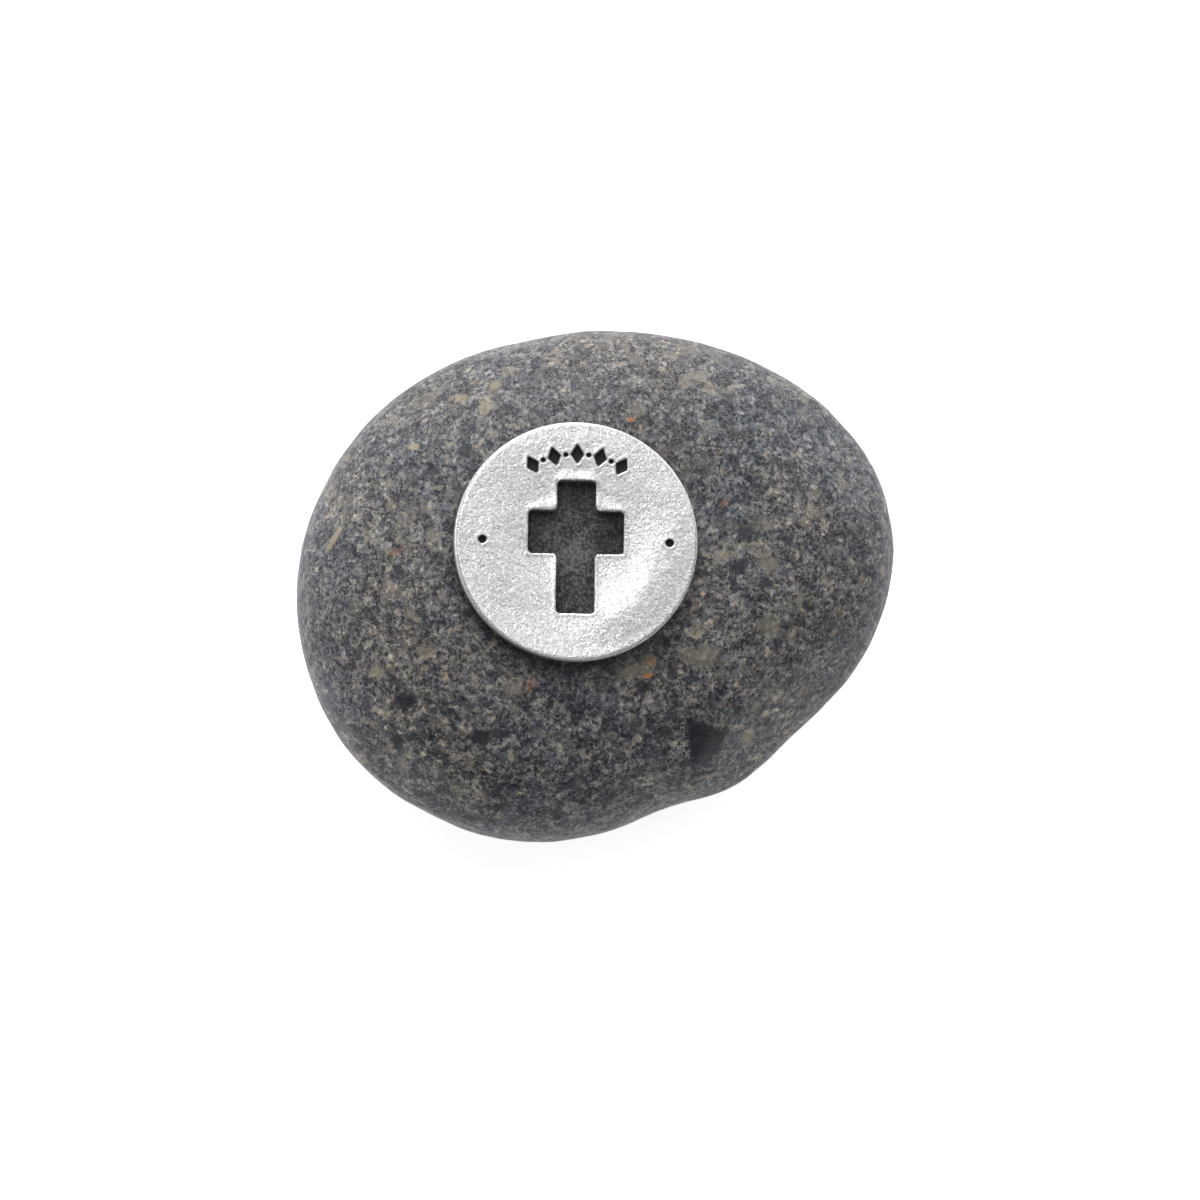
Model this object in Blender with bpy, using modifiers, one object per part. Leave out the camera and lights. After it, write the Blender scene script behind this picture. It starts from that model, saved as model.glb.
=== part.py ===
"""A grey river pebble with a cast pewter token bonded near its crown.

The pebble is one worn stone. The token is a dished round disc with a cross-shaped window, a
punched dot on each side of the window and a row of punched lozenges and dots over it. The
adhesive bed fills the space between the flat back of the token and the stone.

Run it with: blender --background --python part.py
"""

import math

import bmesh
import bpy
from mathutils import Euler, Matrix, Vector, noise
from mathutils.bvhtree import BVHTree

MM = 0.001
HIGH_ABOVE = 100.0  # a height in millimetres that is clear of everything

# Pebble: the outline seen from above, as its radius in millimetres from the middle, every
# 18 degrees anticlockwise from +X. The dip at 288 degrees is the shallow notch in its front edge.
OUTLINE_RADII = (
    31.4, 32.4, 31.3, 29.4, 27.9, 27.3, 27.4, 28.7, 30.0, 31.2,
    32.1, 32.1, 31.7, 30.2, 28.6, 26.6, 24.9, 26.0, 26.5, 29.1,
)
CROWN_RISE = 15.1  # from the widest level up to the crown
BELLY_DROP = 14.4  # from the widest level down to the underside, before it is worn flat
BASE_WEAR = 0.65  # what wear has taken off the underside, which leaves the flat it rests on
FULLNESS = 2.2  # exponent of the cross-section: 2 is an ellipse, more is squarer
CROWN_SHIFT = Vector((-4.6, -4.2))  # how far left and front of the middle the crown lies
LUMP_HEIGHT = 0.9
LUMP_WIDTH = 15.0
SPHERE_SUBDIVISIONS = 5

# Worn faces: the bearing from +X and the slope of the way each one faces, in degrees, then how
# deep it cuts into the round form, and how firmly. A firmness of 1 would leave a true plane.
WORN_FACES = (
    (315.0, 33.0, 1.5, 0.7),
    (232.0, 38.0, 1.0, 0.7),
    (122.0, 40.0, 1.0, 0.7),
    (40.0, 44.0, 0.9, 0.7),
    (195.0, -40.0, 1.0, 0.6),
    (20.0, -42.0, 1.2, 0.6),
    (57.0, 83.3, 2.0, 0.88),
)

# Token: a one-inch cast pewter disc
TOKEN_RADIUS = 12.7
TOKEN_CENTRE = Vector((-2.0, 4.5))
TOKEN_LEAN_RIGHT = 3.6  # degrees that its face turns towards +X
TOKEN_LEAN_BACK = 5.6  # degrees that its face turns towards +Y
TOKEN_TURN = -1.2  # degrees anticlockwise, seen from above
RIM_HEIGHT = 1.95
DISH_DEPTH = 0.42
RIM_CREST_RADIUS = 11.75
RIM_SHOULDER_HEIGHT = 1.25
BACK_EDGE_ROUND = 0.3
TOKEN_STEPS = 72
RIM_ARC_STEPS = 5
DISH_STEPS = 4

# Cross window, measured from the middle of the token
UPRIGHT_HALF_WIDTH = 2.0
ARM_HALF_SPAN = 4.98
ARM_TOP = 3.25
ARM_BOTTOM = -1.3
UPRIGHT_TOP = 6.4
UPRIGHT_BOTTOM = -7.65
WINDOW_LIP = 0.32  # how far its rolled edge widens the window at the face
WINDOW_CORNER_ROUND = 0.5
WINDOW_CORNER_STEPS = 3

# Punch marks
PUNCH_DEPTH = 0.4
PUNCH_TAPER = 0.72  # width of a punch mark at its floor, as a share of its width at the face
SIDE_DOT_RADIUS = 0.45
SIDE_DOT_PLACE = 9.75
ROW_PLACE = 9.25
ROW_STEP = 15.0  # degrees from one lozenge to the next
LOZENGES = 5
LOZENGE_HALF_LENGTH = 1.12
LOZENGE_HALF_WIDTH = 0.72
ROW_DOT_RADIUS = 0.27
DOT_SIDES = 10

# Adhesive bed
BED_RADIUS = 11.3
BED_FLARE = 0.4
BED_GAP = 0.3  # clearance that the bed keeps to the pebble and to the token
BED_THINNEST = 0.35
BED_SIDES = 48
BED_REACH = 5.0

# Colours and finishes, read off the object
STONE_COLOUR = (0.118, 0.116, 0.118)
PEWTER_COLOUR = (0.74, 0.74, 0.75)
ADHESIVE_COLOUR = (0.040, 0.040, 0.042)


def clear_scene():
    """Removes whatever the file held, so that the script always starts from nothing."""
    for leftover in list(bpy.data.objects):
        bpy.data.objects.remove(leftover, do_unlink=True)


def new_collection(name):
    """Makes a collection and links it to the scene."""
    made = bpy.data.collections.new(name)
    bpy.context.scene.collection.children.link(made)
    return made


def new_object(name, mesh, collection, parent=None):
    """Makes an object from a mesh, in a collection and perhaps under a parent."""
    made = bpy.data.objects.new(name, mesh)
    collection.objects.link(made)
    made.parent = parent
    return made


def new_cutter(name, mesh, collection, parent=None):
    """Makes an object that only cuts others."""
    cutter = new_object(name, mesh, collection, parent)
    cutter.hide_render = True
    cutter.display_type = "WIRE"
    return cutter


def new_material(name, colour, roughness, metallic):
    """Makes a plain Principled material."""
    material = bpy.data.materials.new(name)
    material.use_nodes = True
    shader = material.node_tree.nodes["Principled BSDF"]
    shader.inputs["Base Color"].default_value = (*colour, 1.0)
    shader.inputs["Roughness"].default_value = roughness
    shader.inputs["Metallic"].default_value = metallic
    material.diffuse_color = (*colour, 1.0)
    return material


def mesh_from(name, shape):
    """Turns a bmesh in millimetres into a mesh in metres, with its normals outwards."""
    bmesh.ops.recalc_face_normals(shape, faces=shape.faces)
    bmesh.ops.scale(shape, vec=Vector((MM, MM, MM)), verts=shape.verts)
    mesh = bpy.data.meshes.new(name)
    shape.to_mesh(mesh)
    shape.free()
    return mesh


def cut(target, cutter):
    """Cuts one object out of another."""
    boolean = target.modifiers.new("cut " + cutter.name, "BOOLEAN")
    boolean.operation = "DIFFERENCE"
    boolean.solver = "EXACT"
    boolean.object = cutter


def outline_radius(angle):
    """The outline's radius at an angle in radians, on a smooth closed curve through its points."""
    count = len(OUTLINE_RADII)
    place = (angle / math.tau) % 1.0 * count
    first = int(place) % count
    along = place - int(place)
    before, start, end, after = (OUTLINE_RADII[(first + k) % count] for k in (-1, 0, 1, 2))
    slope = (end - before) * along
    bend = (2 * before - 5 * start + 4 * end - after) * along**2
    turn = (3 * start - before - 3 * end + after) * along**3
    return start + 0.5 * (slope + bend + turn)


def pebble_point(direction):
    """The point of the round form, in millimetres from its middle, that lies in a direction."""
    level = Vector((direction.x, direction.y))
    reach = 0.0
    if level.length > 0:
        share = level.length ** (2 / FULLNESS)
        reach = outline_radius(math.atan2(level.y, level.x)) * share
        level.normalize()
    rise = abs(direction.z) ** (2 / FULLNESS)
    flat = level * reach
    if direction.z > 0:
        flat += CROWN_SHIFT * rise**2
    height = rise * (CROWN_RISE if direction.z > 0 else -BELLY_DROP)
    point = Vector((flat.x, flat.y, height))
    return point + direction * noise.noise(point / LUMP_WIDTH) * LUMP_HEIGHT * rise


def wear_faces(shape):
    """Presses each worn face into the round form."""
    for bearing, slope, depth, firmness in WORN_FACES:
        turn = Euler((0.0, -math.radians(slope), math.radians(bearing)))
        outward = turn.to_matrix() @ Vector((1, 0, 0))
        limit = max(vert.co.dot(outward) for vert in shape.verts) - depth
        for vert in shape.verts:
            over = max(0.0, vert.co.dot(outward) - limit)
            vert.co -= outward * over * firmness


def wear_base(shape):
    """Cuts the underside flat, and closes the cut with one face."""
    lowest = min(vert.co.z for vert in shape.verts)
    sliced = bmesh.ops.bisect_plane(
        shape,
        geom=shape.verts[:] + shape.edges[:] + shape.faces[:],
        plane_co=(0, 0, lowest + BASE_WEAR),
        plane_no=(0, 0, -1),
        clear_outer=True,
    )
    rim = [item for item in sliced["geom_cut"] if isinstance(item, bmesh.types.BMEdge)]
    bmesh.ops.contextual_create(shape, geom=rim)


def pebble_shape():
    """The pebble in millimetres, over the origin and resting on its worn flat at height 0."""
    shape = bmesh.new()
    bmesh.ops.create_icosphere(shape, subdivisions=SPHERE_SUBDIVISIONS, radius=1.0)
    for vert in shape.verts:
        vert.co = pebble_point(vert.co.normalized())
    wear_faces(shape)
    wear_base(shape)
    low = Vector(min(vert.co[axis] for vert in shape.verts) for axis in range(3))
    high = Vector(max(vert.co[axis] for vert in shape.verts) for axis in range(3))
    middle = (low + high) / 2
    bmesh.ops.translate(shape, vec=(-middle.x, -middle.y, -low.z), verts=shape.verts)
    return shape


def seat_place(stone):
    """Where the token's back lies, in millimetres, as near the stone as the bed lets it.

    The stone is a BVH tree. Rays go down to it from a grid of places on the token's back, held
    high above, and the shortest of them says how far the token can come down.
    """
    lean = Euler((-math.radians(TOKEN_LEAN_BACK), math.radians(TOKEN_LEAN_RIGHT), 0.0))
    turned = lean.to_matrix().to_4x4() @ Matrix.Rotation(math.radians(TOKEN_TURN), 4, "Z")
    held_high = Matrix.Translation((TOKEN_CENTRE.x, TOKEN_CENTRE.y, HIGH_ABOVE)) @ turned
    falls = []
    for ring in range(9):
        for step in range(24):
            spoke = Matrix.Rotation(math.tau * step / 24, 3, "Z") @ Vector((1, 0, 0))
            start = held_high @ (spoke * TOKEN_RADIUS * ring / 8)
            falls.append(stone.ray_cast(start, Vector((0, 0, -1)))[3])
    fall = min(falls) - (BED_THINNEST + 2 * BED_GAP)
    return Matrix.Translation((0, 0, -fall)) @ held_high


def face_height(radius):
    """The height of the dished face at a distance from the token's middle."""
    return RIM_HEIGHT - DISH_DEPTH * (1 - (radius / RIM_CREST_RADIUS) ** 2)


def token_profile():
    """The token's half section in millimetres, from the middle of its face round to its back."""
    points = []
    for step in range(DISH_STEPS + 1):
        radius = RIM_CREST_RADIUS * step / DISH_STEPS
        points.append((radius, face_height(radius)))
    wide = TOKEN_RADIUS - RIM_CREST_RADIUS
    tall = RIM_HEIGHT - RIM_SHOULDER_HEIGHT
    for step in range(1, RIM_ARC_STEPS + 1):
        turn = math.pi / 2 * step / RIM_ARC_STEPS
        radius = RIM_CREST_RADIUS + wide * math.sin(turn)
        points.append((radius, RIM_SHOULDER_HEIGHT + tall * math.cos(turn)))
    points.append((TOKEN_RADIUS, BACK_EDGE_ROUND))
    points.append((TOKEN_RADIUS - BACK_EDGE_ROUND, 0.0))
    points.append((0.0, 0.0))
    return points


def turned_object(name, profile, steps, collection, parent):
    """Makes an object that a Screw modifier turns from a half section about its Z axis."""
    shape = bmesh.new()
    corners = [shape.verts.new((radius, 0, height)) for radius, height in profile]
    for first, second in zip(corners, corners[1:]):
        shape.edges.new((first, second))
    turned = new_object(name, mesh_from(name, shape), collection, parent)
    screw = turned.modifiers.new("turn", "SCREW")
    screw.axis = "Z"
    screw.steps = steps
    screw.render_steps = steps
    screw.use_merge_vertices = True
    screw.merge_threshold = 0.00001
    return turned


def face_towards(shape, way):
    """The face of a mesh that lies furthest one way and faces it, the nearest to its axis."""
    facing = [face for face in shape.faces if face.normal.dot(way) > 0.99]
    return max(
        facing,
        key=lambda face: (
            round(face.calc_center_median().dot(way), 3),
            -face.calc_center_median().cross(way).length,
        ),
    )


def pull(shape, faces, way):
    """Extrudes faces by a vector, and takes away the faces that this leaves inside."""
    pulled = bmesh.ops.extrude_face_region(shape, geom=faces)["geom"]
    verts = [item for item in pulled if isinstance(item, bmesh.types.BMVert)]
    bmesh.ops.translate(shape, vec=way, verts=verts)
    bmesh.ops.delete(shape, geom=faces, context="FACES_ONLY")


def window_mesh():
    """The cutter of the cross window: a cross pulled from a block, narrower below its lip."""
    face = RIM_HEIGHT - DISH_DEPTH
    crossing_low = Vector((-UPRIGHT_HALF_WIDTH - WINDOW_LIP, ARM_BOTTOM - WINDOW_LIP, face + 0.2))
    crossing_high = Vector((UPRIGHT_HALF_WIDTH + WINDOW_LIP, ARM_TOP + WINDOW_LIP, face + 2.0))
    shape = bmesh.new()
    bmesh.ops.create_cube(shape, size=1.0)
    bmesh.ops.scale(shape, vec=crossing_high - crossing_low, verts=shape.verts)
    bmesh.ops.translate(shape, vec=(crossing_high + crossing_low) / 2, verts=shape.verts)
    arm_length = ARM_HALF_SPAN - UPRIGHT_HALF_WIDTH
    for way, length in (
        (Vector((1, 0, 0)), arm_length),
        (Vector((-1, 0, 0)), arm_length),
        (Vector((0, 1, 0)), UPRIGHT_TOP - ARM_TOP),
        (Vector((0, -1, 0)), ARM_BOTTOM - UPRIGHT_BOTTOM),
    ):
        shape.normal_update()
        pull(shape, [face_towards(shape, way)], way * length)
    shape.normal_update()
    corners = [
        edge
        for edge in shape.edges
        if abs((edge.verts[1].co - edge.verts[0].co).normalized().z) > 0.99
    ]
    bmesh.ops.bevel(
        shape,
        geom=corners,
        offset=WINDOW_CORNER_ROUND,
        segments=WINDOW_CORNER_STEPS,
        profile=0.5,
        affect="EDGES",
    )
    shape.normal_update()
    below = [face for face in shape.faces if face.normal.z < -0.99]
    bmesh.ops.inset_region(
        shape,
        faces=below,
        thickness=WINDOW_LIP,
        depth=WINDOW_LIP + 0.2,
        use_even_offset=True,
    )
    pull(shape, below, Vector((0, 0, -3.0)))
    return mesh_from("window", shape)


def add_punch(shape, bearing, place, half_width, half_length, sides):
    """Adds a tapered punch at a bearing in degrees clockwise from +Y, a distance out."""
    turn = Matrix.Rotation(-math.radians(bearing), 4, "Z")
    size = Matrix.Diagonal((half_width, half_length, 1.0, 1.0))
    bmesh.ops.create_cone(
        shape,
        cap_ends=True,
        segments=sides,
        radius1=PUNCH_TAPER,
        radius2=2 - PUNCH_TAPER,
        depth=2 * PUNCH_DEPTH,
        matrix=turn @ Matrix.Translation((0, place, face_height(place))) @ size,
    )


def punches_mesh():
    """The cutter of every punch mark: two side dots, and the row of lozenges and dots."""
    shape = bmesh.new()
    for bearing in (-90.0, 90.0):
        add_punch(shape, bearing, SIDE_DOT_PLACE, SIDE_DOT_RADIUS, SIDE_DOT_RADIUS, DOT_SIDES)
    first = -ROW_STEP * (LOZENGES - 1) / 2
    for number in range(LOZENGES):
        bearing = first + number * ROW_STEP
        add_punch(shape, bearing, ROW_PLACE, LOZENGE_HALF_WIDTH, LOZENGE_HALF_LENGTH, 4)
    for number in range(LOZENGES - 1):
        bearing = first + (number + 0.5) * ROW_STEP
        add_punch(shape, bearing, ROW_PLACE, ROW_DOT_RADIUS, ROW_DOT_RADIUS, DOT_SIDES)
    return mesh_from("punches", shape)


def bed_mesh():
    """The adhesive before it takes the stone's shape: a plug under the token's back."""
    shape = bmesh.new()
    bmesh.ops.create_cone(
        shape,
        cap_ends=True,
        segments=BED_SIDES,
        radius1=BED_RADIUS + BED_FLARE,
        radius2=BED_RADIUS,
        depth=BED_REACH,
        matrix=Matrix.Translation((0, 0, -BED_REACH / 2 - BED_GAP)),
    )
    return mesh_from("adhesive_bed", shape)


def finish(node, material, crease):
    """Gives a node its material, and smooth shading up to a crease angle in degrees."""
    node.data.materials.append(material)
    node.data.shade_smooth()
    node.data.set_sharp_from_angle(angle=math.radians(crease))


def main():
    """Builds the pebble, the token and the adhesive bed."""
    clear_scene()
    parts = new_collection("river_pebble")
    cutters = new_collection("cutters")

    shape = pebble_shape()
    stone = BVHTree.FromBMesh(shape)
    pebble = new_object("pebble", mesh_from("pebble", shape), parts)
    finish(pebble, new_material("water-worn greywacke", STONE_COLOUR, 0.62, 0.0), 12)

    place = seat_place(stone)
    seat = new_object("token_seat", None, parts)
    seat.location = place.translation * MM
    seat.rotation_euler = place.to_euler()

    token = turned_object("token", token_profile(), TOKEN_STEPS, parts, seat)
    cut(token, new_cutter("window", window_mesh(), cutters, seat))
    cut(token, new_cutter("punches", punches_mesh(), cutters, seat))
    finish(token, new_material("cast pewter", PEWTER_COLOUR, 0.34, 1.0), 35)

    bed = new_object("adhesive_bed", bed_mesh(), parts, seat)
    swollen = new_cutter("pebble_and_gap", pebble.data.copy(), cutters)
    swell = swollen.modifiers.new("gap", "DISPLACE")
    swell.strength = BED_GAP * MM
    swell.mid_level = 0.0
    cut(bed, swollen)
    finish(bed, new_material("cured epoxy", ADHESIVE_COLOUR, 0.25, 0.0), 35)


main()
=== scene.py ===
"""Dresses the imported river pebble: the worn stone, the cast pewter token and its adhesive."""

import logging
import math
from dataclasses import dataclass
from enum import Enum
from functools import cached_property

import bmesh
import bpy
import numpy as np
from mathutils import Euler, Matrix, Vector, noise
from mathutils.bvhtree import BVHTree


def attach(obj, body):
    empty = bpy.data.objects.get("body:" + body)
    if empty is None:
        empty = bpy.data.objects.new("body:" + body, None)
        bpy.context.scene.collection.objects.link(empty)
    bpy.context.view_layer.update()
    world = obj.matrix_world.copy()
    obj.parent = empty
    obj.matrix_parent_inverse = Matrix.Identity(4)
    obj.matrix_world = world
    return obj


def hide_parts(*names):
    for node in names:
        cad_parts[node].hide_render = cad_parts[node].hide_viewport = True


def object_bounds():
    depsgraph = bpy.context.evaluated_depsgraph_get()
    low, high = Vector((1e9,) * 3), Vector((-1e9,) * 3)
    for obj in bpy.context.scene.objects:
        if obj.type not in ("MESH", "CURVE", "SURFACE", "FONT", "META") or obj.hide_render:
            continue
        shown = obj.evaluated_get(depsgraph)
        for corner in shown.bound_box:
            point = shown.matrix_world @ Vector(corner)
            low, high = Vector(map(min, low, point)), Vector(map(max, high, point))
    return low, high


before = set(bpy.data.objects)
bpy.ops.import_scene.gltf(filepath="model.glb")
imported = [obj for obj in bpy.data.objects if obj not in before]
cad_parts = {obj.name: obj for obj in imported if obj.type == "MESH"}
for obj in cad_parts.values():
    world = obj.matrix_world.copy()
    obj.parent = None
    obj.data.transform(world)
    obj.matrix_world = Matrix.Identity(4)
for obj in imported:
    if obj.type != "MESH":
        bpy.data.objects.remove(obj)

CAD_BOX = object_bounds()
BODY = "root"
MM = 0.001
TO_MM = 1000.0
FAR = 99.0
LOG = logging.getLogger("river_pebble")

# The photograph's frame: how its pixels lie over the object, seen straight from above
PHOTO_SIDE_PX = 1200
PHOTO_CENTRE_MM = Vector((0.59, -1.45))
PHOTO_SIDE_MM = 128.2

# What feeds a shader input: one output, or a node, whose first output in use is then taken
Source = bpy.types.NodeSocket | bpy.types.Node


def linear(hex_colour: str) -> tuple[float, float, float, float]:
    """Turns an sRGB hex colour into linear light.

    Args:
        hex_colour: The colour as "#rrggbb".

    Returns:
        Red, green, blue and alpha, with alpha at 1.
    """
    parts = [int(hex_colour[place : place + 2], 16) / 255 for place in (1, 3, 5)]
    light = [part / 12.92 if part <= 0.04045 else ((part + 0.055) / 1.055) ** 2.4 for part in parts]
    return (*light, 1.0)


def photo_to_mm(column: float, row: float) -> Vector:
    """Finds the place over the object that a pixel of the photograph shows.

    Args:
        column: Pixels from the photograph's left edge.
        row: Pixels from its top edge.

    Returns:
        X and Y in the object's frame, in millimetres, at the pebble's widest level.
    """
    scale = PHOTO_SIDE_MM / PHOTO_SIDE_PX
    middle = PHOTO_SIDE_PX / 2
    return PHOTO_CENTRE_MM + Vector(((column - middle) * scale, (middle - row) * scale))


def set_inputs(node: bpy.types.Node, inputs: dict[str | int, object]) -> None:
    """Links a node's inputs to what feeds them, or gives them their values.

    Args:
        node: The node.
        inputs: For each input, the source that feeds it, or a value.
    """
    for name, value in inputs.items():
        if isinstance(value, bpy.types.Node):
            value = next(output for output in value.outputs if output.enabled)
        if isinstance(value, bpy.types.NodeSocket):
            node.id_data.links.new(value, node.inputs[name])
        else:
            node.inputs[name].default_value = value


class Paint:
    """A material while it is made."""

    def __init__(self, name: str) -> None:
        """Starts the material.

        Args:
            name: What the material is, in plain words.
        """
        self.material = bpy.data.materials.new(name)
        self.material.use_nodes = True
        self.shader = self.material.node_tree.nodes["Principled BSDF"]

    @cached_property
    def place(self) -> Source:
        """The place on the piece in millimetres, which the patterns follow."""
        place = self.add("TexCoord").outputs["Object"]
        return self.add("Mapping", {"Vector": place, "Scale": (TO_MM, TO_MM, TO_MM)})

    def add(
        self,
        kind: str,
        inputs: dict[str | int, object] | None = None,
        stops: tuple[tuple[float, str], ...] = (),
        **settings: object,
    ) -> bpy.types.Node:
        """Adds a shader node with its settings, its links and the stops of its ramp.

        Args:
            kind: The node's type name after "ShaderNode".
            inputs: For each input, the source that feeds it, or a value.
            stops: For a colour ramp, each stop's place and hex colour.
            settings: The node's own properties.

        Returns:
            The new node.
        """
        made = self.material.node_tree.nodes.new("ShaderNode" + kind)
        for name, value in settings.items():
            setattr(made, name, value)
        set_inputs(made, inputs or {})
        if stops:
            ramp = made.color_ramp
            while len(ramp.elements) < len(stops):
                ramp.elements.new(1.0)
            for element, (place, colour) in zip(ramp.elements, stops):
                element.position = place
                element.color = linear(colour)
        return made


def activate(piece: bpy.types.Object) -> None:
    """Makes one object the only selected and active one.

    Args:
        piece: The object to select.
    """
    bpy.ops.object.select_all(action="DESELECT")
    piece.select_set(True)
    bpy.context.view_layer.objects.active = piece


def apply_modifier(piece: bpy.types.Object, kind: str, **settings: object) -> None:
    """Adds a modifier to a piece and applies it.

    Args:
        piece: The object that takes the modifier.
        kind: The modifier's type name.
        settings: The modifier's own properties.
    """
    activate(piece)
    modifier = piece.modifiers.new(kind.lower(), kind)
    for name, value in settings.items():
        setattr(modifier, name, value)
    bpy.ops.object.modifier_apply(modifier=modifier.name)


def copy_of_node(node: str, name: str) -> bpy.types.Object:
    """Copies a CAD node to a new piece and merges its loose triangles.

    Args:
        node: The CAD node's name.
        name: The new piece's name.

    Returns:
        The new piece.
    """
    piece = bpy.data.objects.new(name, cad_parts[node].data.copy())
    bpy.context.scene.collection.objects.link(piece)
    piece.data.materials.clear()
    activate(piece)
    bpy.ops.object.mode_set(mode="EDIT")
    bpy.ops.mesh.select_all(action="SELECT")
    bpy.ops.mesh.remove_doubles(threshold=0.002 * MM)
    bpy.ops.object.mode_set(mode="OBJECT")
    return piece


def vertex_places(piece: bpy.types.Object) -> np.ndarray:
    """Reads the vertex places of a piece, in millimetres.

    Args:
        piece: A mesh object at the origin.

    Returns:
        An array with a row for each vertex.
    """
    flat = np.empty(len(piece.data.vertices) * 3)
    piece.data.vertices.foreach_get("co", flat)
    return flat.reshape(-1, 3) * TO_MM


def move_vertices(piece: bpy.types.Object, places: np.ndarray) -> None:
    """Writes the vertex places of a piece.

    Args:
        piece: A mesh object at the origin.
        places: An array with a row for each vertex, in millimetres.
    """
    piece.data.vertices.foreach_set("co", (places * MM).ravel())
    piece.data.update()


def add_attribute(piece: bpy.types.Object, name: str, values: np.ndarray) -> None:
    """Gives each vertex of a piece a number that its material reads.

    Args:
        piece: The mesh object.
        name: The attribute's name.
        values: One number for each vertex.
    """
    attribute = piece.data.attributes.new(name, "FLOAT", "POINT")
    attribute.data.foreach_set("value", values.astype(np.float32))


def dress(piece: bpy.types.Object, material: bpy.types.Material, node: str) -> None:
    """Gives a finished piece its material and its body, and hides the CAD node that it stands for.

    Args:
        piece: The finished mesh object.
        material: Its material.
        node: The CAD node that it replaces.
    """
    piece.data.materials.clear()
    piece.data.materials.append(material)
    activate(piece)
    bpy.ops.object.shade_smooth()
    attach(piece, BODY)
    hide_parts(node)
    LOG.info("%s: %d faces, stands for %s", piece.name, len(piece.data.polygons), node)


def fall_off(distance: np.ndarray, width: float) -> np.ndarray:
    """A smooth hump: 1 at no distance, and near 0 at twice the width.

    Args:
        distance: How far off each place is, in millimetres or degrees.
        width: The hump's half width, in the same unit.

    Returns:
        The hump's height at each distance.
    """
    return np.exp(-((distance / width) ** 2))


class ClastTone(Enum):
    """The colours of the larger rock fragments that show one by one, as sRGB hex."""

    SLATE = "#171b22"
    DARK = "#22262d"
    OLIVE = "#7b7668"
    TAN = "#958a72"
    ORANGE = "#a9753f"
    RUST = "#7a5238"


@dataclass(frozen=True)
class Clast:
    """One rock fragment, placed where the photograph shows it.

    Args:
        tone: Its colour.
        column: Pixels from the photograph's left edge.
        row: Pixels from its top edge.
        length: Its longer half-axis in millimetres.
        width: Its shorter half-axis in millimetres.
        turn: Degrees anticlockwise from +X to the longer axis.
        strength: How fully its colour covers the stone's own.
    """

    tone: ClastTone
    column: float
    row: float
    length: float
    width: float
    turn: float = 0.0
    strength: float = 0.72


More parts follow.
